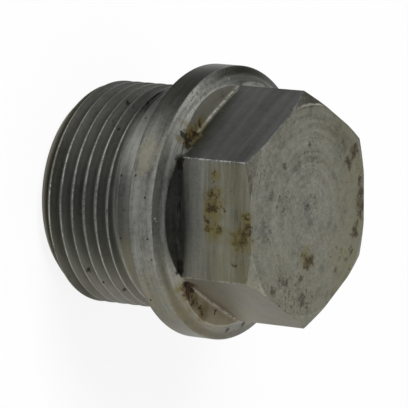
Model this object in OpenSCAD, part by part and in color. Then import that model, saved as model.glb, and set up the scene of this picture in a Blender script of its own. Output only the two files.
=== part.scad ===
// Hex head plug: a screw plug turned from one bar, with a threaded shank, a sealing collar and a milled hexagon.
// It stands on its thread end: Z is the screw axis, and the origin is the centre of the end face.

/* [Shank] */
// Outside diameter of the threaded shank
thread_d = 23.85; // [18:0.05:26]
// Reach of the shank, from the collar's underside to the end face
reach = 14; // [12:0.5:24]
// Radial depth of the lead-in chamfer at the end face
lead_in_depth = 1.38; // [0.8:0.02:2]
// Length of the lead-in chamfer along the axis
lead_in_length = 1.65; // [0.8:0.05:3]
// Fillet between the shank and the collar's underside
seat_fillet = 0.4; // [0.2:0.05:0.8]

/* [Thread] */
// Pitch of the thread
pitch = 1.5; // [1:0.25:2]
// Width of the flat crests
crest_width = 0.2; // [0.15:0.01:0.4]
// Width of the groove's flat root
root_width = 0.24; // [0.15:0.01:0.4]
// Angle between the two flanks of the groove, in degrees
flank_angle = 60; // [52:1:62]
// Which way the thread winds
thread_hand = "left"; // [left, right]
// Angle at which the groove enters the end face, in degrees
thread_start = 204; // [0:1:359]
// Plain shank between the end of the groove and the collar's underside
plain_shank = 3.35; // [2:0.05:6]
// Turns over which the last of the groove runs out
run_out = 0.48; // [0.3:0.01:1]

/* [Collar] */
// Diameter of the collar
collar_d = 29; // [28.5:0.1:36]
// Height of the collar's rim
rim_height = 2.95; // [2:0.05:5]
// Edge break on both edges of the rim
rim_break = 0.05; // [0.02:0.01:0.4]
// Slope of the cone that rises from the rim to the hexagon, in degrees
cone_slope = 30; // [20:1:40]

/* [Hexagon] */
// Width across the flats
hex_af = 21.75; // [16:0.05:22]
// Height of the hexagon above the middle of the milled floors
hex_height = 9; // [6:0.05:14]
// Height of the middle of the milled floors above the top of the rim
floor_rise = 0.74; // [0.3:0.02:0.9]
// Radius of the disc cutter that milled the flats
cutter_r = 52; // [40:1:120]
// Fillet that the cutter leaves at the foot of each flat
foot_fillet = 0.35; // [0.1:0.05:0.6]
// How far the turned head stops short of the sharp corners
corner_break = 0.02; // [0.01:0.01:0.4]
// Diameter of the crown's flat circle, where the chamfer of the corners begins
crown_d = 22.3; // [18:0.1:24.5]
// Slope of the chamfer round the crown, in degrees
crown_slope = 22; // [10:1:35]

/* [Hidden] */
$fn = 96;

steel = [0.46, 0.46, 0.43];
flats = 6;
flat_step = 360 / flats;

thread_r = thread_d / 2;
collar_r = collar_d / 2;
flat_r = hex_af / 2;
corner_r = flat_r / cos(flat_step / 2) - corner_break;
crown_r = crown_d / 2;

rim_top = reach + rim_height;
cone_foot_r = collar_r - rim_break;
cone_top = rim_top + (cone_foot_r - corner_r) * tan(cone_slope);
floor_z = rim_top + floor_rise;
crown_z = floor_z + hex_height;
crown_edge_z = crown_z - (corner_r - crown_r) * tan(crown_slope);

// Room that a cutter takes beyond the metal it removes
clear = 1;

// The groove starts a whole turn below the end face, and is lifted out of the shank at its other end
flank_rise = tan(flank_angle / 2);
groove_depth = (pitch - crest_width - root_width) / 2 / flank_rise;
groove_turns = 1 + (reach - plain_shank) / pitch;
groove_steps = 40;
winding = thread_hand == "left" ? -1 : 1;
groove_skin = 0.08;

// What fills an inside corner at the origin, up to a quarter circle of radius r
module corner_fill(r) {
    difference() {
        square(r);
        translate([r, r]) circle(r);
    }
}

// Corners of the thread groove's section, the given number of turns from its start
function groove_section(turns) =
    let (lift = (groove_depth + groove_skin / 2) * max(0, 1 - (groove_turns - turns) / run_out),
         root_r = thread_r - groove_depth + lift,
         skin_r = thread_r + groove_skin,
         root_half = root_width / 2,
         skin_half = root_half + (skin_r - root_r) * flank_rise,
         middle = pitch * (turns - 1) - lift * flank_rise,
         angle = thread_start + winding * 360 * turns)
    [for (corner = [[skin_r, -skin_half], [root_r, -root_half], [root_r, root_half], [skin_r, skin_half]])
        [corner[0] * cos(angle), corner[0] * sin(angle), middle + corner[1]]];

// Helical thread groove: its section carried round the shank, to be cut away
module thread_groove() {
    count = ceil(groove_turns * groove_steps);
    corners = len(groove_section(0));
    points = [for (i = [0:count]) each groove_section(groove_turns * i / count)];
    sides = [for (i = [0:count - 1], k = [0:corners - 1])
        let (a = i * corners + k, b = i * corners + (k + 1) % corners)
        each [[a, b, b + corners], [a, b + corners, a + corners]]];
    near_end = [for (k = [corners - 1:-1:0]) k];
    far_end = [for (k = [0:corners - 1]) count * corners + k];
    faces = concat(sides, [near_end, far_end]);
    polyhedron(points, winding < 0 ? faces : [for (face = faces) [for (k = [len(face) - 1:-1:0]) face[k]]]);
}

// Half section of the turned blank, from the end face up to the crown
module blank_section() {
    polygon([
        [0, 0],
        [thread_r - lead_in_depth, 0],
        [thread_r, lead_in_length],
        [thread_r, reach],
        [collar_r - rim_break, reach],
        [collar_r, reach + rim_break],
        [collar_r, rim_top - rim_break],
        [cone_foot_r, rim_top],
        [corner_r, cone_top],
        [corner_r, crown_edge_z],
        [crown_r, crown_z],
        [0, crown_z]]);
    translate([thread_r, reach]) mirror([0, 1]) corner_fill(seat_fillet);
}

// Disc cutter that mills one flat: it leaves the flat, a hollow floor on the collar and a fillet between them
module flat_cut() {
    translate([flat_r, 0, floor_z + cutter_r]) rotate([0, 90, 0]) rotate_extrude() difference() {
        square([cutter_r, collar_r - flat_r + clear]);
        translate([cutter_r, 0]) mirror([1, 0]) corner_fill(foot_fillet);
    }
}

// The whole plug, one piece of turned and milled steel
module plug() {
    color(steel) difference() {
        rotate_extrude() blank_section();
        for (i = [0:flats - 1]) rotate((i + 0.5) * flat_step) flat_cut();
        thread_groove();
    }
}

plug();
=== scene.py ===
"""Hex head plug, standing on its thread end: the looks of one piece of turned and milled steel."""

from functools import reduce

import bpy
import numpy as np
from mathutils import Matrix, Vector


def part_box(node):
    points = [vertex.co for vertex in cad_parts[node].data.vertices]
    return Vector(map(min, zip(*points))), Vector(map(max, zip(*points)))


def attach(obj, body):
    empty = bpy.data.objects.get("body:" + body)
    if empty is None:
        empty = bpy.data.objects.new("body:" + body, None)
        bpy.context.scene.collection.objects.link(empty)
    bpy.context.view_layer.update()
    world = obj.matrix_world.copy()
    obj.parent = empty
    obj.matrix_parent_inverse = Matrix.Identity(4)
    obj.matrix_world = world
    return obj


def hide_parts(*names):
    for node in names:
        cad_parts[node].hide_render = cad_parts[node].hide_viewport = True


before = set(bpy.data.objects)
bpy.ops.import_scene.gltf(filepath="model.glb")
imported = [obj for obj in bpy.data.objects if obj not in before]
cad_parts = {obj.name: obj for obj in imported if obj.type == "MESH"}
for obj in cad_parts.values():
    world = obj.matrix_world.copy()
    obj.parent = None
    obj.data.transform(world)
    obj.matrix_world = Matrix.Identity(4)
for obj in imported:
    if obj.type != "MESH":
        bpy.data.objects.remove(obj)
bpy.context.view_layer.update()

# Shank: the end that screws into the port. It was turned to the crests' size and a 60 degree thread was cut
# into it as one left-hand helix, which runs out below a short plain stretch under the collar.
# All sizes of the plug are in millimetres, and its columns of points stand round the Z axis.
MM = 0.001
collar_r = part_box("plug")[1].x / MM
crown_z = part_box("plug")[1].z / MM
thread_r = 11.925
reach = 14.0
lead_in_depth = 1.38
lead_in_length = 1.65
lead_in_round = 0.05
end_r = thread_r - lead_in_depth
pitch = 1.5
crest_width = 0.2
crest_round = 0.06
root_width = 0.24
root_round = 0.12
flank_rise = np.tan(np.radians(30))
groove_depth = (pitch - crest_width - root_width) / 2 / flank_rise
plain_shank = 3.35
plain_foot = reach - plain_shank + 0.15
groove_turns = 1 + (reach - plain_shank) / pitch
run_out = 0.48
run_out_lift = groove_depth + 0.04
thread_start = np.radians(204)
seat_fillet = 0.4
skin = []


def column_angles(columns_a_flat=42):
    """Angle of each column: u runs from -1 to 1 across a flat and 30 degrees times u (2 - |u|) is the angle
    from the flat's middle, so the columns draw together at the six corners. The last closes on the first."""
    u = np.arange(-columns_a_flat, columns_a_flat, 2) / columns_a_flat
    across = np.radians(30) * u * (2 - np.abs(u))
    middles = np.radians(30 + 60 * np.arange(6))
    angles = (middles[:, None] + across).ravel()
    return np.append(angles, angles[0] + 2 * np.pi)


angle = column_angles()[None, :]


def lay(r, z, faced, tone_and_painted_light, painted_shade_and_soot=0.0, film_and_painted_light=0.0, wear_and_highlight=0.0, mottled=1.0, lined=1.0):
    """Lays a band of rows on the plug's skin, from the end face up: radius and height, whether the tool's
    marks run across the band's face, how light the steel is with painted light and shade, how much painted
    shade and soot it bears, how much dull film, painted lighter below, it bears, how bright it is rubbed or
    painted as a highlight, and how strongly it is mottled and lined by the tool."""
    given = (r, z, faced, tone_and_painted_light, painted_shade_and_soot, film_and_painted_light, wear_and_highlight, mottled, lined)
    skin.append(np.stack([np.broadcast_to(part, (len(r), angle.size)) for part in given]))


def away_from(degrees):
    """Degrees round the axis from an angle to each column, from -180 to 180."""
    return np.mod(np.degrees(angle) - degrees + 180, 360) - 180


def facing(degrees, spread):
    """1 on the side of the plug at an angle round its axis, falling off as a bell curve to either side. In
    the photograph the sides at about 200, 262 and 320 degrees are the upper, the near and the lower one."""
    return np.exp(-((away_from(degrees) / spread) ** 2))


def ramp(value, low, high):
    """0 where a value is low, 1 where it is high, a straight line between them and level beyond them."""
    return np.clip((value - low) / (high - low), 0, 1)


def smooth_min(a, b, width):
    """The lesser of a and b, rounded off by a parabola where they are closer than width."""
    near = np.maximum(width - np.abs(a - b), 0) / width
    return np.minimum(a, b) - near**2 * width / 4


def arc(centre_r, centre_z, radius, start, end, steps=7):
    """Profile points on a circle round a centre, by degrees from the outward direction towards the crown."""
    turn = np.radians(np.linspace(start, end, steps))[:, None]
    return centre_r + radius * np.cos(turn), centre_z + radius * np.sin(turn)


def threaded_shank():
    """Radius and height of rows that follow the helix: a row keeps its distance from the groove's middle and
    drops by one pitch a turn. The groove's depth is a line up each flank, held between the root and the crest
    and rounded at both, and it is lifted out of the metal over its last half turn. The lead-in cone cuts all
    of it. With them come each point's height off the groove's middle, and 1 where the cone has cut."""
    root_to_crest = np.array([0, 0.07, 0.11, 0.15, 0.2, 0.32, 0.44, 0.55, 0.6, 0.635, 0.665, 0.7])
    across_pitch = np.concatenate([root_to_crest, [pitch / 2], pitch - root_to_crest[:0:-1]])
    whole_turns = np.arange(-1, np.ceil(plain_foot / pitch))[:, None]
    climb = (pitch * whole_turns + across_pitch).reshape(-1, 1)
    turned = (thread_start - angle) / (2 * np.pi)
    z = np.clip(climb + pitch * turned, 0, plain_foot)
    turns = 1 + np.round(climb / pitch) + turned
    lift = run_out_lift * np.maximum(1 - (groove_turns - turns) / run_out, 0)
    off_middle = z - pitch * (turns - 1) + lift * flank_rise
    flank = root_width / 2 / flank_rise + groove_depth - lift - np.abs(off_middle) / flank_rise
    groove = -smooth_min(-smooth_min(flank, groove_depth - lift, root_round), 0, crest_round)
    lead_in = end_r + z * lead_in_depth / lead_in_length
    chamfered = ramp(thread_r - groove - lead_in, -0.1, 0)
    return smooth_min(thread_r - groove, lead_in, lead_in_round), z, off_middle, chamfered


r = end_r * np.array([0, 0.3, 0.6, 0.85, 0.97, 0.995])[:, None]
lay(r, 0 * r, True, 0.9)
r, z, off_middle, chamfered = threaded_shank()
off_crest = pitch / 2 - np.abs(off_middle)
crest = ramp(np.abs(off_crest), 0.1, 0) * (z < plain_foot - 0.3) * (1 - chamfered)
groove = ramp(off_crest, 0.1, 0.16)
near_root = ramp(off_crest, 0.15, 0.6)
lower_flank = groove * ramp(off_middle, 0.125, -0.125)
last_groove = groove * ramp(z, plain_foot - 1.3, plain_foot - 0.8)
# Painted shade: the grooves are darkened, most on the near side and least on the lower side, and so are the
# last groove under the collar and the upper side below the collar. The lead-in chamfer, the first few
# millimetres and the lower side near the end are darker.
groove_shade = (groove * (0.1 + 0.2 * facing(262, 26)) * (1 - 0.6 * near_root) + 0.3 * last_groove
               + lower_flank * (0.12 + 0.3 * facing(262, 30)) * (1 - 0.8 * near_root))
upper_side_shade = 0.35 * (groove + 2 * crest) * facing(200, 18) + 0.5 * facing(203, 16) * ramp(z, 8, 10)
lead_in_darkening = 0.2 * chamfered + 0.12 * ramp(z, 3.4, 1.4) + 0.45 * facing(328, 18) * ramp(z, 5.5, 2.5)
# Painted light and shade: the thread's tone is lighter in the grooves and on the lower side and darker on the
# upper side. Its lower grooves take dust that is painted lighter below, and its crests get a painted
# highlight, strongest on the near side.
lay(r, z, False, 0.95 + 0.35 * groove + 0.4 * near_root + 0.8 * facing(318, 30) - 0.38 * facing(197, 18),
    painted_shade_and_soot=groove_shade * (1 - 0.8 * facing(320, 26)) + upper_side_shade + lead_in_darkening,
    film_and_painted_light=0.12 * facing(205, 28) + groove * (0.1 * facing(215, 25) + facing(322, 30)) + 0.4 * chamfered,
    wear_and_highlight=crest * (0.04 + 1.7 * facing(262, 30)), mottled=0.5, lined=0.7)
z = np.linspace(plain_foot + 0.05, reach - seat_fillet - 0.1, 9)[:, None]
under_collar = ramp(z, plain_foot + 0.8, plain_foot + 2.3)
# Painted light and shade: the plain shank is lighter on the near upper side and towards the collar there and
# darker on the near lower side. It is darker still at its thread end on the near side and along the upper
# side under the collar.
lay(thread_r + 0 * z, z, False,
    0.97 + 0.5 * facing(230, 18) + 0.35 * under_collar * facing(247, 14) - 0.27 * facing(300, 25),
    painted_shade_and_soot=0.6 * np.exp((plain_foot - z) / 0.6) * facing(262, 22) + 0.75 * facing(201, 16),
    mottled=0.5, lined=0.8)
# Painted shade: the fillet in the crease under the collar is darker.
r, z = arc(thread_r + seat_fillet, reach - seat_fillet, seat_fillet, 180, 90)
lay(r, z, False, 0.7, painted_shade_and_soot=0.5)

# Collar: the flange that presses the seal, turned from the same bar. Its rim has small broken edges, and a
# shallow cone rises from the rim to the foot of the hexagon.
rim_height = 2.95
rim_round = 0.06
rim_break = 0.05
rim_top = reach + rim_height
cone_foot_r = collar_r - rim_break
cone_slope = 30
cone_rise = np.tan(np.radians(cone_slope))


def cone_height(r):
    """Height of the collar's cone at radius r: it rises inwards from the top of the rim."""
    return rim_top + (cone_foot_r - r) * cone_rise


onto_cone = 90 - cone_slope
cone_start_r = collar_r - rim_round * (1 - np.cos(np.radians(onto_cone)))
top_centre_z = cone_height(cone_start_r) - rim_round * np.sin(np.radians(onto_cone))
r = np.linspace(thread_r + seat_fillet + 0.05, collar_r - rim_round - 0.05, 6)[:, None]
lay(r, reach + 0 * r, True, 0.8)
# Painted reflection: a thin dark line along the rim's lower edge, painted as the dark underside seen in it.
r, z = arc(collar_r - rim_round, reach + rim_round, rim_round, -90, 0)
lay(r, z, False, 1.0, painted_shade_and_soot=0.4)
from_edge = np.array([0.02, 0.05, 0.09, 0.14, 0.2, 0.3])
between = np.linspace(reach + 0.6, rim_top - 0.55, 5)
z = np.concatenate([reach + rim_round + from_edge, between, top_centre_z - from_edge[::-1]])[:, None]
# Painted shade: the rim is darker on the upper side and on the far lower side. Its top edge gets a painted
# highlight.
lay(collar_r + 0 * z, z, False, 1.3 - 1.13 * facing(203, 28) - 0.45 * facing(335, 28),
    painted_shade_and_soot=0.4 * ramp(z, reach + 0.16, reach + 0.1), wear_and_highlight=0.2 * ramp(z, rim_top - 0.2, rim_top - 0.12),
    mottled=0.6)
# Painted highlight: the rounded edge from the rim onto the cone is lighter.
r, z = arc(collar_r - rim_round, top_centre_z, rim_round, 0, onto_cone)
lay(r, z, False, 1.6, wear_and_highlight=0.25, mottled=0.5)

# Hexagon: milled on the turned head with a disc cutter, flat by flat. The cutter left a hollow floor on the
# collar before each flat and a small fillet at its foot, and the crown was faced and chamfered on the lathe.
flat_r = 10.875
corner_break = 0.02
corner_round = 0.03
corner_r = flat_r / np.cos(np.radians(30)) - corner_break
floor_rise = 0.74
floor_z = rim_top + floor_rise
least_floor = 0.01
cutter_r = 52.0
foot_fillet = 0.35
crown_r = 11.15
crown_fall = np.tan(np.radians(22))
crown_round = 0.05

off_flat = np.mod(angle, np.radians(60)) - np.radians(30)
hex_r = smooth_min(flat_r / np.cos(off_flat), corner_r, corner_round)
from_corner = flat_r * (np.tan(np.radians(30)) - np.tan(np.abs(off_flat)))
# Painted highlight: the hexagon's corner edges are lit, most at 240 degrees, over a strip painted darker.
corner_highlight = np.exp(-((from_corner / 0.08) ** 2))
in_corner = np.exp(-from_corner / 0.9)


def on_flat(degrees):
    """1 on the flat that faces an angle and on the floor before it, from corner to corner."""
    return ramp(np.abs(away_from(degrees)), 30.2, 29.8)


def floor_edge():
    """Radius at which the floor, a parabola along the cutter's path, meets the cone: a quadratic's root."""
    bend = np.sin(off_flat) ** 2 / (2 * cutter_r)
    height = cone_height(0) - floor_z
    r = 2 * height / (cone_rise + np.sqrt(cone_rise**2 + 4 * bend * height))
    return np.maximum(r, hex_r + least_floor)


def cone_rows(steps=9):
    """Radius and height on the cone, in even steps from the rim's edge in to the edge of the floors."""
    along = np.linspace(0.02, 1, steps)[:, None]
    r = cone_start_r + (floor_edge() - cone_start_r) * along
    return r, cone_height(r)


def floor_rows(steps=6, fillet_steps=7):
    """Radius and height on the milled floor, from its edge in to the fillet and up the fillet to the flat,
    and how far off the flat that is. Near a corner the cone lies lower than the cutter's path, and the lower
    is the metal."""
    edge = (floor_edge() - hex_r) * np.cos(off_flat)
    inner = np.minimum(edge, foot_fillet)
    flat_part = edge + (inner - edge) * np.linspace(0.04, 0.97, steps)[:, None]
    climb = np.radians(np.linspace(0, 90, fillet_steps))[:, None]
    fillet_part = np.minimum(foot_fillet * (1 - np.sin(climb)), inner)
    off = np.concatenate([flat_part, fillet_part])
    in_fillet = np.maximum(foot_fillet - off, 0)
    rise = foot_fillet - np.sqrt(foot_fillet**2 - in_fillet**2)
    r = hex_r + off / np.cos(off_flat)
    milled = floor_z + (r * np.sin(off_flat)) ** 2 / (2 * cutter_r) + rise
    return r, np.minimum(milled, cone_height(r)), off


def crown_height(r):
    """Height of the head's top at radius r: level inside the crown's circle, a falling cone outside it."""
    return crown_z - np.maximum(r - crown_r, 0) * crown_fall


def flat_rows(foot_z, steps=16):
    """Radius and height up the flats, from the fillet to just below the head's top edge."""
    top = crown_height(hex_r) - crown_round
    return hex_r + np.zeros((steps, 1)), foot_z + (top - foot_z) * np.linspace(0.02, 1, steps)[:, None]


def crown_edge_rows(steps=6):
    """Radius and height over the head's top edge, a curve drawn between three points where the flat meets the
    top, and how near the middle of the curve that is."""
    t = np.linspace(0.15, 1, steps)[:, None]
    edge_z = crown_height(hex_r)
    z = edge_z - crown_round * (1 - t) ** 2 + (crown_height(hex_r - crown_round) - edge_z) * t**2
    return hex_r - crown_round * t**2, z, np.sin(np.pi * t)


def top_rows(steps=7):
    """Radius on the head's top, from its edge in to the crown's circle, or a little way where the circle has
    run out over the flat, and then in to the middle."""
    inner = np.minimum(crown_r, hex_r - 0.15)
    chamfer = hex_r - crown_round + (inner - hex_r + crown_round) * np.linspace(0.1, 1, steps)[:, None]
    crown = inner * np.array([0.996, 0.99, 0.985, 0.97, 0.9, 0.75, 0.6, 0.4, 0.2, 0])[:, None]
    return np.concatenate([chamfer, crown])


r, z = cone_rows()
outer_band = 1 / (1 + np.exp((13.65 - r) / 0.04))
scraped = facing(212, 20)
# Painted shade: besides its darker outer band, the cone is darker towards the upper side and the lower side,
# and its tone is changed on the scraped upper left. Painted highlight: a bright line along its outer edge.
shaded = 0.88 * outer_band * (1 - 0.8 * scraped) + 0.7 * facing(172, 24) + 0.5 * (scraped + facing(318, 22))
lay(r, z, True, 1.62 - shaded, film_and_painted_light=0.3 * facing(325, 25),
    wear_and_highlight=0.35 * scraped + 0.15 * ramp(r, collar_r - 0.22, collar_r - 0.16), mottled=0.55, lined=1.4)
r, z, off = floor_rows()
# Painted highlight: a bright line along the fillet at the foot of the upper and lower flats.
fillet_highlight = np.exp(-(((off - 0.1) / 0.06) ** 2))
# Painted shade: the floor before the near flat is darkened, most at the flat's foot and in its corners, and
# so is the upper floor in its corner at 240 degrees. The film on the upper and lower floors lightens them as
# painted light.
lay(r, z, True, 0.9,
    painted_shade_and_soot=on_flat(270) * (0.42 + 0.5 * ramp(off, 0.32, 0.22) + 0.45 * in_corner)
    + 0.9 * on_flat(210) * in_corner * facing(240, 14),
    film_and_painted_light=0.8 * (on_flat(210) + on_flat(330)), wear_and_highlight=1.2 * fillet_highlight * (on_flat(210) + on_flat(330)))
r, z = flat_rows(z[-1])
up_flat = z - floor_z
# Painted light and shade: the upper and lower flats are lighter towards their foot, the near flat is darker
# towards its foot, and the corner strips are darker under their painted highlights. The near flat is darkened
# at its foot and in its corners as painted shade, and the lower flat's film near its foot carries dust
# painted lighter below.
upper_flat_light = on_flat(210) * (0.22 * np.exp(-up_flat / 2.5) - 0.013 * up_flat)
near_flat_shade = on_flat(270) * (-0.06 - 0.45 * np.exp(-up_flat / 1.8) - 0.017 * up_flat)
lower_flat_light = on_flat(330) * (0.6 * np.exp(-up_flat / 2.0) - 0.013 * up_flat)
lay(r, z, False, 1.0 + upper_flat_light + near_flat_shade + lower_flat_light - 0.5 * corner_highlight,
    painted_shade_and_soot=on_flat(270) * (0.3 * np.exp(-up_flat / 0.12) + 1.1 * in_corner * np.exp(-up_flat / 0.5)),
    film_and_painted_light=0.8 * on_flat(330) * np.exp(-up_flat / 2.5),
    wear_and_highlight=corner_highlight * (0.12 + 0.75 * facing(240, 20) + 0.3 * facing(300, 10)),
    mottled=0.4 - 0.15 * on_flat(210),
    lined=0.5 - 0.2 * on_flat(210) + 1.1 * on_flat(270) * ramp(up_flat, 2.0, 4.75))
r, z, on_edge = crown_edge_rows()
# Painted highlight: a light line along the head's top edge.
lay(r, z, True, 0.95, wear_and_highlight=0.4 * on_edge)
r = top_rows()
# Painted shade and highlight: the crown is darker towards its edge on the upper far side, and a light line
# runs along the crown's circle where the chamfer reaches it, strongest on the upper side.
circle_highlight = (0.1 + 0.5 * facing(190, 30) + 0.15 * facing(300, 25)) * (hex_r > crown_r)
lay(r, crown_height(r), True, 0.97 - 0.3 * (r / crown_r) ** 2 * facing(150, 70),
    wear_and_highlight=circle_highlight * ramp(np.abs(r - crown_r), 0.16, 0.08), lined=0.5 + 0.9 * facing(175, 50))

# Plug: the bands above are one skin from the middle of the end face to the middle of the crown. Turning and
# milling marks follow a length that each point keeps, along the axis on the sides and across it on the faces.
skin_r, skin_z, faced, *finish = np.concatenate(skin, axis=1)
mark_length = np.where(faced > 0.5, 2 * collar_r - skin_r, skin_z)
grid = np.stack([skin_r * np.cos(angle), skin_r * np.sin(angle), skin_z], axis=-1) * MM
finish_names = ("mark", "tone_and_painted_light", "painted_shade_and_soot", "film_and_painted_light", "wear_and_highlight", "mottled", "lined")


def closed_skin(grid):
    """Points and faces of a grid that may fold onto itself, and which of the grid's points the points are.
    Points within a tenth of a micrometre are one point, and a face that loses a corner by this is a triangle,
    or is left out if it loses more."""
    every = grid.reshape(-1, 3)
    cells = np.round(every * 1e7).astype(np.int64)
    _, first, same = np.unique(cells, axis=0, return_index=True, return_inverse=True)
    number = same.reshape(grid.shape[:2])
    corners = (number[:-1, :-1], number[:-1, 1:], number[1:, 1:], number[1:, :-1])
    quads = np.stack(corners, axis=-1).reshape(-1, 4)
    unfolded = (quads[:, 0] != quads[:, 2]) & (quads[:, 1] != quads[:, 3])
    distinct = quads != np.roll(quads, 1, axis=1)
    whole = unfolded & (distinct.sum(axis=1) == 4)
    cut = unfolded & (distinct.sum(axis=1) == 3)
    triangles = quads[cut][distinct[cut]].reshape(-1, 3)
    return every[first], quads[whole].tolist() + triangles.tolist(), first


points, faces, first = closed_skin(grid)
mesh = bpy.data.meshes.new("steel_plug")
mesh.from_pydata(points, [], faces)
mesh.shade_smooth()
for name, values in zip(finish_names, (mark_length, *finish)):
    mesh.attributes.new(name, "FLOAT", "POINT").data.foreach_set("value", values.ravel()[first])
plug = bpy.data.objects.new("steel_plug", mesh)
bpy.context.scene.collection.objects.link(plug)
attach(plug, "root")
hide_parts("plug")

# Steel: the finish of the whole plug. It is bare steel gone dark under oil, with the fine lines of lathe and
# cutter, mottled patches, small pits, bright edges that are rubbed and painted as highlights, painted light
# and shade, and rust where it was left wet.


class Signal:
    """One output socket in a material. Arithmetic on signals adds Math nodes, node() adds any other kind."""

    def __init__(self, socket):
        self.socket = socket

    def node(self, kind, settings=None, sockets=None, output=0):
        """Adds a node of a kind beside this signal: its settings, then values or links for its sockets by
        name or number. Gives one of its outputs."""
        tree = self.socket.id_data
        made = tree.nodes.new(kind)
        for name, value in (settings or {}).items():
            setattr(made, name, value)
        for name, value in (sockets or {}).items():
            if isinstance(value, Signal):
                tree.links.new(value.socket, made.inputs[name])
            else:
                made.inputs[name].default_value = value
        return Signal(made.outputs[output])

    def math(self, operation, *others):
        """A Math node on this signal and up to two other values."""
        return self.node("ShaderNodeMath", {"operation": operation}, dict(enumerate((self, *others))))

    def __add__(self, other):
        return self.math("ADD", other)

    def __mul__(self, other):
        return self.math("MULTIPLY", other)

    def __sub__(self, other):
        return self.math("SUBTRACT", other)

    def __rsub__(self, other):
        return (self * -1) + other

    def __truediv__(self, other):
        return self.math("DIVIDE", other)

    __radd__ = __add__
    __rmul__ = __mul__

    def step(self, low, high):
        """A smooth step from 0 where the signal is low to 1 where it is high."""
        return self.node("ShaderNodeMapRange", {"interpolation_type": "SMOOTHSTEP"},
                         {"Value": self, "From Min": low, "From Max": high})

    def noise(self, scale, detail=2.0, roughness=0.5, distortion=0.0, output=0):
        """Noise on this vector, from 0 to 1, as a value or as the node's other output, a colour."""
        return self.node("ShaderNodeTexNoise", {}, {"Vector": self, "Scale": scale, "Detail": detail,
                                                    "Roughness": roughness, "Distortion": distortion}, output)

    def blend(self, low, high):
        """A mix of two colours: the first where this signal is 0 and the second where it is 1."""
        return self.node("ShaderNodeMix", {"data_type": "RGBA"}, {0: self, 6: low, 7: high}, output=2)

    def toward(self, colour, share):
        """This colour mixed with another by a share."""
        return share.blend(self, colour)


def greatest(signals):
    """The greatest of some signals."""
    return reduce(lambda one, other: one.math("MAXIMUM", other), signals)


def rgb(red, green, blue):
    """A colour as the eye sees it, from 0 to 255, made into the light that the shader works in."""
    seen = np.array([red, green, blue]) / 255
    return (*np.where(seen <= 0.04045, seen / 12.92, ((seen + 0.055) / 1.055) ** 2.4), 1.0)


steel = bpy.data.materials.new("oily_steel")
steel.use_nodes = True
shader = steel.node_tree.nodes["Principled BSDF"]
start = Signal(shader.outputs[0])
metres = start.node("ShaderNodeTexCoord", output="Object")
place = start.node("ShaderNodeVectorMath", {"operation": "SCALE"}, {0: metres, "Scale": 1 / MM})
x, y, z = (start.node("ShaderNodeSeparateXYZ", {}, {0: place}, output=axis) for axis in "XYZ")
# The skin's tone, soot, film and wear carry painted light and shade by side, painted shade in hollows and
# corners, dust painted lighter below and painted highlights on edges, besides the steel's own tone, soot,
# film and wear.
mark, tone_and_painted_light, painted_shade_and_soot, film_and_painted_light, wear_and_highlight, mottled, lined = (
    start.node("ShaderNodeAttribute", {"attribute_name": name}, output="Fac") for name in finish_names)


def tool_path(round_axis, along):
    """A place stretched along the tool's marks: how fast it changes round the axis and across the marks."""
    return start.node("ShaderNodeCombineXYZ", {}, {0: x * round_axis, 1: y * round_axis, 2: mark * along})


# Tool marks, mottling and the steel's own grey
broad_path = tool_path(0.11, 1.3)
lines = tool_path(0.22, 3.8).noise(1.0, detail=3.0, roughness=0.6)
hairlines = tool_path(0.5, 11.0).noise(1.0, detail=2.0)
streaks = broad_path.noise(1.0, detail=4.0, roughness=0.65)
wide_streaks = broad_path.noise(0.4, detail=2.0)
patches = place.noise(0.26, detail=5.0, roughness=0.65)
blotches = place.noise(0.8, detail=4.0, roughness=0.65)
mottle = place.noise(2.3, detail=4.0, roughness=0.7)
fine = place.noise(5.2, detail=3.0, roughness=0.7)
turned = (lines - 0.5) * (0.15 + 0.6 * patches)
wiped = (x * -0.866 + y * -0.5).step(10.6, 10.8) * z.step(18, 18.3)
mottling = 0.6 * (fine - 0.5) + 1.1 * (mottle - 0.5) + 0.9 * (blotches - 0.5) + 1.0 * (patches - 0.5)
tooling = 1.2 * turned + 0.25 * (hairlines - 0.5) + 0.8 * (streaks - 0.5) + 0.6 * (wide_streaks - 0.5)
lightness = tone_and_painted_light * (0.6 + tooling * lined + mottling * mottled + 0.6 * wiped * (wide_streaks - 0.5))
colour = lightness.blend(rgb(36, 36, 33), rgb(148, 150, 146))

# Old oil, dust painted lighter below, painted shade and soot, and rubbed edges with painted highlights
oiled = (0.2 + 0.35 * z.step(20, 23.5) + 0.3 * y.step(2, 9) * z.step(18, 24)
         + 0.42 * x.step(-2, 12) * (1 - 0.5 * z.step(26, 26.5))
         + 0.3 * (y * -1).step(10.7, 10.85) * z.step(20.2, 22) * (streaks - 0.1))
olive = (1 - wiped) * (0.6 * patches + 0.4 * blotches).step(0.0, 0.8) * oiled
colour = colour.toward(rgb(105, 100, 73), olive)
lower_side = x.step(0, 9)
# Painted light: the dust is lighter on the lower side, as if lit from below.
dust_and_painted_light = lower_side.blend(rgb(118, 115, 102), rgb(172, 169, 157))
dust_and_painted_light = dust_and_painted_light.toward(rgb(170, 156, 128), lower_side * z.step(14, 17))
colour = colour.toward(dust_and_painted_light, film_and_painted_light * (0.25 + 1.1 * blotches))
colour = colour.toward(rgb(15, 14, 13), painted_shade_and_soot * (0.5 + 0.8 * blotches))
bared = (0.35 * mottle + 0.15 * fine + 0.5 * lines).step(0.42, 0.6)
colour = colour.toward(rgb(190, 190, 182), wear_and_highlight * (0.12 + 1.45 * bared) * 0.75)
scratches = (place.noise(0.62, detail=3.0, distortion=1.2) - 0.5).math("ABSOLUTE").step(0.014, 0.004)
colour = colour.toward(rgb(74, 73, 66), scratches * wear_and_highlight * 1.6)
colour = colour.toward(rgb(84, 80, 52), 0.45 * z.step(3, 0.8))


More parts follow.
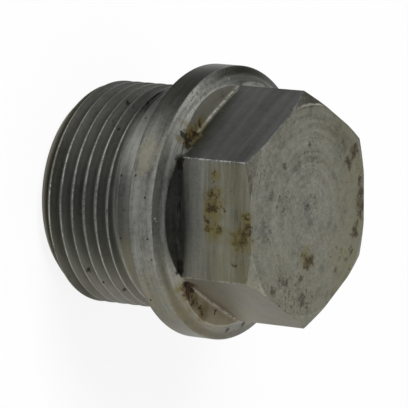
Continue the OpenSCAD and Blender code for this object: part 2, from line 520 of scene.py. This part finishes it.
def shaken(scale, throw):
    """Each place moved by noise, by up to about half of a throw each way."""
    shift = place.noise(scale, detail=4.0, roughness=0.7, output="Color")
    centred = start.node("ShaderNodeVectorMath", {"operation": "SUBTRACT"}, {0: shift, 1: (0.5, 0.5, 0.5)})
    return start.node("ShaderNodeVectorMath", {"operation": "MULTIPLY_ADD"},
                      {0: centred, 1: (throw, throw, throw), 2: place})


def far_from(middle, place):
    """How far a place is from a spot's middle."""
    return start.node("ShaderNodeVectorMath", {"operation": "DISTANCE"}, {0: place, 1: middle},
                      output="Value")


def depth_in(spots, place=place):
    """How deep a place lies in the nearest of some spots, each a point on the plug and a radius: 1 at the
    spot's middle, 0 at its edge and less outside."""
    return greatest([1 - far_from(middle, place) / radius for *middle, radius in spots])


# Stains: brown water marks on the near flat and the floors, tan film on the rim and grease on the plain shank
uneven = 1.2 * (streaks - 0.5) + 1.4 * (blotches - 0.5) + 0.8 * (mottle - 0.5)
stain = (uneven + depth_in([
    (-2.2, -10.9, 22.3, 2.0), (-0.6, -10.9, 22.1, 2.0), (0.9, -10.9, 22.3, 1.8), (1.5, -10.9, 25.6, 1.9),
    (-0.4, -10.9, 26.2, 1.2), (-4.6, -10.9, 22.4, 0.9), (5.0, -0.4, 26.7, 1.5), (-8.2, -8.6, 17.8, 1.9),
    (-8.0, -10.5, 17.6, 0.7), (-9.3, -6.6, 17.8, 1.4), (7.7, -9.6, 17.8, 2.0), (9.3, -8.2, 17.8, 1.6),
    (10.7, -6.2, 17.8, 1.4), (7.6, -10.7, 17.6, 1.0)])).step(0.05, 0.7)
colour = colour.toward(rgb(104, 96, 56), stain * 0.7)
tanned = (uneven + depth_in([
    (-6.9, -12.7, 15.3, 2.2), (-5.4, -13.4, 15.3, 1.6), (6.6, -12.9, 15.4, 1.8), (8.7, -11.6, 15.0, 2.2),
    (10.6, -9.9, 15.4, 2.2), (12.2, -7.8, 15.2, 2.0)])).step(0.0, 0.8)
tan = lower_side.blend(rgb(140, 133, 108), rgb(120, 112, 90))
colour = colour.toward(tan, tanned * 0.4)
greased = (0.5 * uneven + depth_in([
    (4.2, -11.2, 12.4, 2.4), (6.4, -10.1, 12.4, 2.4), (8.2, -8.7, 12.2, 2.2)])).step(-0.2, 0.8)
colour = colour.toward(rgb(102, 96, 68), greased * 0.5)

# Rust on the near flat, the crown and the floors, with black grime and painted shade in the corners at the
# hexagon's foot
ragged = 1.4 * (mottle - 0.5) + 1.4 * (fine - 0.5) + 0.15
rust_depth = ragged + depth_in([
    (-4.9, -10.9, 22.2, 0.35), (-4.3, -10.9, 22.2, 0.3), (-2.9, -10.9, 22.1, 0.7), (-2.4, -10.9, 22.7, 0.5),
    (-1.5, -10.9, 21.8, 0.8), (-1.1, -10.9, 22.1, 0.6), (-1.5, -10.9, 23.3, 0.5), (0.0, -10.9, 21.4, 0.5),
    (0.9, -10.9, 21.5, 0.45), (1.0, -10.9, 22.8, 0.55), (1.7, -10.9, 25.4, 1.1), (1.0, -10.9, 25.9, 0.9),
    (0.5, -10.9, 26.3, 0.6), (2.2, -10.9, 25.5, 0.7), (-0.6, -10.9, 26.2, 0.4), (4.0, -10.9, 24.6, 0.3),
    (5.4, 0.3, 26.7, 0.9), (5.0, -0.3, 26.7, 0.7), (4.5, -0.9, 26.7, 0.6), (5.8, -0.5, 26.7, 0.6),
    (-2.0, 9.9, 26.7, 0.7), (-0.7, 10.3, 26.7, 0.9), (0.6, 10.3, 26.7, 1.1), (1.8, 10.0, 26.7, 0.8),
    (-5.1, 8.8, 26.7, 0.8), (-4.1, 7.8, 26.7, 0.8), (3.1, 9.0, 26.7, 0.8), (-7.6, -9.3, 17.8, 1.0),
    (-8.0, -8.7, 17.8, 1.2), (-8.5, -8.2, 17.8, 1.0), (-9.1, -7.1, 17.8, 0.5), (7.3, -10.1, 17.8, 0.6),
    (7.7, -9.5, 17.8, 1.0), (8.1, -8.6, 17.8, 0.7), (8.6, -9.2, 17.8, 0.6), (9.4, -8.1, 17.8, 0.6),
    (10.1, -7.2, 17.8, 0.5), (10.6, -6.5, 17.8, 0.45), (11.1, -4.1, 17.8, 0.4), (12.9, 1.2, 17.7, 0.5)],
    shaken(0.7, 3.4))
rust = rust_depth.step(0.1, 0.55)
on_lower_floor = x.step(4, 8) * z.step(20, 18.5)
rust_colour = on_lower_floor.blend(rgb(78, 67, 27), rgb(86, 59, 34))
rust_colour = rust_colour.toward(rgb(60, 52, 27), z.step(26.3, 26.6))
colour = colour.toward(rust_colour, rust * 0.8)
colour = colour.toward(rgb(43, 33, 14), rust_depth.step(0.55, 0.95) * 0.9)
# Painted shade and grime: brown-black in the corners at the foot of the near flat and on the floors beside
# them.
corner_shade_and_grime = (0.8 * (mottle - 0.5) + 1.2 * (fine - 0.5) + depth_in([
    (-8.3, -9.8, 17.7, 0.7), (-7.9, -9.5, 17.8, 0.6), (-7.2, -9.4, 17.8, 0.7), (-7.7, -8.8, 17.8, 0.6),
    (-8.3, -7.8, 17.8, 0.5), (-9.2, -6.8, 17.8, 0.4), (-6.0, -10.9, 18.0, 0.7), (-5.2, -10.9, 17.9, 0.6),
    (5.6, -10.9, 17.9, 0.7), (4.8, -10.9, 17.8, 0.6), (7.0, -9.9, 17.8, 0.5), (7.9, -8.7, 17.8, 0.4)],
    shaken(1.5, 1.2))).step(0.0, 0.5)
colour = colour.toward(rgb(26, 21, 13), corner_shade_and_grime * 0.85)

# Specks, nicks, dull spots, crooked marks and pits
ragged_fine = 2.5 * (fine - 0.5) + 1.5 * (mottle - 0.5)
specks = (ragged_fine + depth_in([
    (6.9, -9.3, 5.0, 0.38), (7.2, -9.1, 5.3, 0.3), (8.3, -8.5, 6.5, 0.22), (9.1, -7.0, 8.1, 0.28),
    (4.3, -10.7, 8.6, 0.25), (-9.5, -6.6, 6.1, 0.36), (-8.1, -8.2, 8.3, 0.3), (-11.1, -2.9, 4.4, 0.35),
    (-10.0, -5.6, 8.3, 0.32), (-9.4, -7.3, 11.2, 0.2), (2.7, -11.6, 10.9, 0.18), (-3.8, -11.3, 10.9, 0.15),
    (-3.2, -11.1, 9.5, 0.3), (-0.3, -11.9, 11.6, 0.14), (2.0, -14.35, 16.3, 0.15), (8.9, -11.4, 14.6, 0.18),
    (-10.4, -4.8, 7.1, 0.34), (-10.8, -4.0, 9.3, 0.32), (-6.1, -10.2, 7.4, 0.2), (4.2, -13.9, 16.5, 0.14),
    (-4.4, -13.8, 14.5, 0.18), (-2.3, -14.3, 16.0, 0.18), (13.0, 1.1, 17.7, 0.4),
    (13.3, -1.6, 17.5, 0.4)])).step(0.1, 0.5)
nicks = (ragged_fine + depth_in([
    (-0.2, -14.1, 17.1, 0.14), (0.1, -14.0, 17.2, 0.1), (1.8, -13.1, 17.6, 0.09), (-13.3, -1.2, 17.5, 0.2),
    (-2.6, -11.6, 6.3, 0.16), (-2.7, -11.6, 7.8, 0.18)])).step(0.1, 0.5)
pitted = depth_in([
    (8.2, -4.2, 26.7, 3.2), (9.4, -0.6, 26.7, 2.2), (-1.5, -4.8, 26.7, 1.6), (-6.0, 0.8, 26.7, 1.6),
    (1.0, -8.7, 26.7, 2.0), (-0.4, 0.0, 26.7, 2.0), (-4.2, -8.0, 26.7, 1.8),
    (-10.0, -6.0, 7.0, 4.5)]).step(-0.3, 0.6)
dulled = (0.8 * (blotches - 0.5) + depth_in([
    (1.0, -8.8, 26.7, 0.9), (-0.6, -0.3, 26.7, 0.9), (1.2, 0.3, 26.7, 0.7),
    (6.5, 2.6, 26.7, 0.7)])).step(0.0, 0.6)
clumps = (ragged_fine + depth_in([
    (7.0, -4.3, 26.7, 0.5), (6.9, -4.9, 26.7, 0.4), (7.0, -1.6, 26.7, 0.6), (7.6, -6.7, 26.7, 0.7),
    (8.9, -1.4, 26.7, 0.6), (9.6, -1.2, 26.7, 0.6), (-6.9, 0.3, 26.7, 0.45), (-5.3, -4.5, 26.7, 0.45),
    (7.1, 5.2, 26.7, 0.5), (5.5, 8.3, 26.7, 0.5), (-0.4, -0.3, 26.7, 0.5)], shaken(1.5, 2.0))).step(0.1, 0.5)
squiggles = (place.noise(1.0, detail=2.0, distortion=1.0) - 0.5).math("ABSOLUTE").step(0.07, 0.025)
squiggles = squiggles * place.noise(1.9, detail=3.0, roughness=0.7).step(0.5, 0.6)
marked = (0.5 * blotches + 0.5 * patches + 0.14 * pitted).step(0.53, 0.62) * z.step(25.5, 26.5)
hollows = place.noise(3.3, detail=3.0, roughness=0.7)
pits = (hollows + 0.5 * (patches - 0.5) + 0.3 * (fine - 0.5) + 0.1 * pitted).step(0.69, 0.76)
colour = colour.toward(rgb(78, 80, 78), dulled * 0.5)
colour = colour.toward(rgb(205, 205, 196), nicks * 0.7)
colour = colour.toward(rgb(48, 45, 37), squiggles * marked * 0.7)
colour = colour.toward(rgb(52, 49, 39), clumps * 0.75)
colour = colour.toward(rgb(30, 27, 22), greatest([pits * 0.65, specks]) * 0.8)

# What the finish does to the light
roughness = 0.3 + 0.14 * blotches + 0.25 * rust + 0.3 * film_and_painted_light + 0.1 * painted_shade_and_soot
metallic = (1 - rust * 0.6) * (1 - film_and_painted_light * 0.5) * (1 - painted_shade_and_soot * 0.3)
height = turned * 0.8 + hairlines * 0.2 + mottle * 0.5 - pits * 0.5 + blotches * 0.4 - specks
bump = start.node("ShaderNodeBump", {}, {"Height": height, "Distance": 0.02 * MM, "Strength": 1.0})
finished = {"Base Color": colour, "Roughness": roughness, "Metallic": metallic, "Normal": bump}
for name, signal in finished.items():
    steel.node_tree.links.new(signal.socket, shader.inputs[name])
shader.inputs["Specular Tint"].default_value = (0.8, 0.8, 0.8, 1)
mesh.materials.append(steel)

# Stage: a plain white floor, which looks white to the camera and in the steel and keeps a faint shadow, with
# soft lamps above and behind and two dark cards that the camera does not see, as a studio sets them beside
# polished metal.
floor_half = 3000
white_share = 0.88
plug_middle = Vector((0, 0, 15))


def flat_card(name, half_x, half_y, centre, grey):
    """A rectangle of paper in the XY plane round a centre, as a stage object of plain grey."""
    corners = np.array([(-1, -1, 0), (1, -1, 0), (1, 1, 0), (-1, 1, 0)]) * (half_x, half_y, 0) + centre
    paper = bpy.data.meshes.new(name)
    paper.from_pydata(corners * MM, [], [(0, 1, 2, 3)])
    card = bpy.data.objects.new(name, paper)
    bpy.context.scene.collection.objects.link(card)
    paint = bpy.data.materials.new(name)
    paint.use_nodes = True
    inputs = paint.node_tree.nodes["Principled BSDF"].inputs
    inputs["Base Color"].default_value = (grey, grey, grey, 1)
    inputs["Roughness"].default_value = 0.9
    inputs["Specular IOR Level"].default_value = 0.0
    paper.materials.append(paint)
    return card


floor = flat_card("floor", floor_half, floor_half, (0, 0, 0), 0.9)
tree = floor.data.materials[0].node_tree
lit_floor = Signal(tree.nodes["Principled BSDF"].outputs[0])
looked_at = greatest([lit_floor.node("ShaderNodeLightPath", output="Is %s Ray" % kind)
                      for kind in ("Camera", "Glossy", "Transmission")])
glow = lit_floor.node("ShaderNodeEmission", {}, {"Color": (1, 1, 1, 1), "Strength": 1.0})
both = lit_floor.node("ShaderNodeMixShader", {}, {0: looked_at * white_share, 1: lit_floor, 2: glow})
tree.links.new(both.socket, tree.nodes["Material Output"].inputs["Surface"])

side_card = flat_card("side_card", 26, 39, (-50, 21, 0.3), 0.33)
front_card = flat_card("front_card", 12, 6.5, (1, -23.5, 0.4), 0.1)
for card in (side_card, front_card):
    card.visible_camera = False
    card.visible_shadow = False
    card.visible_diffuse = False


def soft_lamp(name, towards, distance, size, radiance):
    """A square lamp in a direction from the plug, facing it. Its watts are radiance by pi by its area."""
    lamp = bpy.data.lights.new(name, "AREA")
    lamp.size = size * MM
    lamp.energy = radiance * np.pi * (size * MM) ** 2
    placed = bpy.data.objects.new(name, lamp)
    direction = Vector(towards).normalized()
    placed.matrix_world = (Matrix.Translation((direction * distance + plug_middle) * MM)
                           @ direction.to_track_quat("Z", "Y").to_matrix().to_4x4())
    bpy.context.scene.collection.objects.link(placed)
    return placed


back = soft_lamp("back_lamp", (0.33, 0.76, 0.56), 400, 420, 0.73)
high = soft_lamp("high_lamp", (-0.38, 0.38, 0.84), 400, 260, 0.82)
soft_lamp("side_lamp", (0.55, 0.2, 0.8), 400, 240, 0.9)
for lamp in (back, high):
    lamp.visible_diffuse = False
key = soft_lamp("key_lamp", (-0.6, -0.3, 0.75), 600, 250, 17.0)
key.visible_glossy = False

world = bpy.data.worlds.new("studio")
world.use_nodes = True
world.node_tree.nodes["Background"].inputs["Color"].default_value = (0.36, 0.36, 0.36, 1)
bpy.context.scene.world = world

# Camera: the photograph looks down on the crown from the side, from about 0.4 m away through a long lens, and
# is turned so that the standing plug seems to lie.
camera_place = Vector((-62.91, -335.23, 243.22)) * MM
looking = Vector((0.1540, 0.8151, -0.5585)).normalized()
photo_up = Vector((-0.9881, 0.1287, -0.0847))
right = looking.cross(photo_up).normalized()
up = right.cross(looking)
camera = bpy.data.objects.new("camera", bpy.data.cameras.new("camera"))
camera.matrix_world = Matrix.Translation(camera_place) @ Matrix((right, up, -looking)).transposed().to_4x4()
camera.data.lens = 342.73
camera.data.sensor_width = 36
bpy.context.scene.collection.objects.link(camera)
bpy.context.scene.camera = camera

bpy.context.scene.view_settings.view_transform = "Standard"
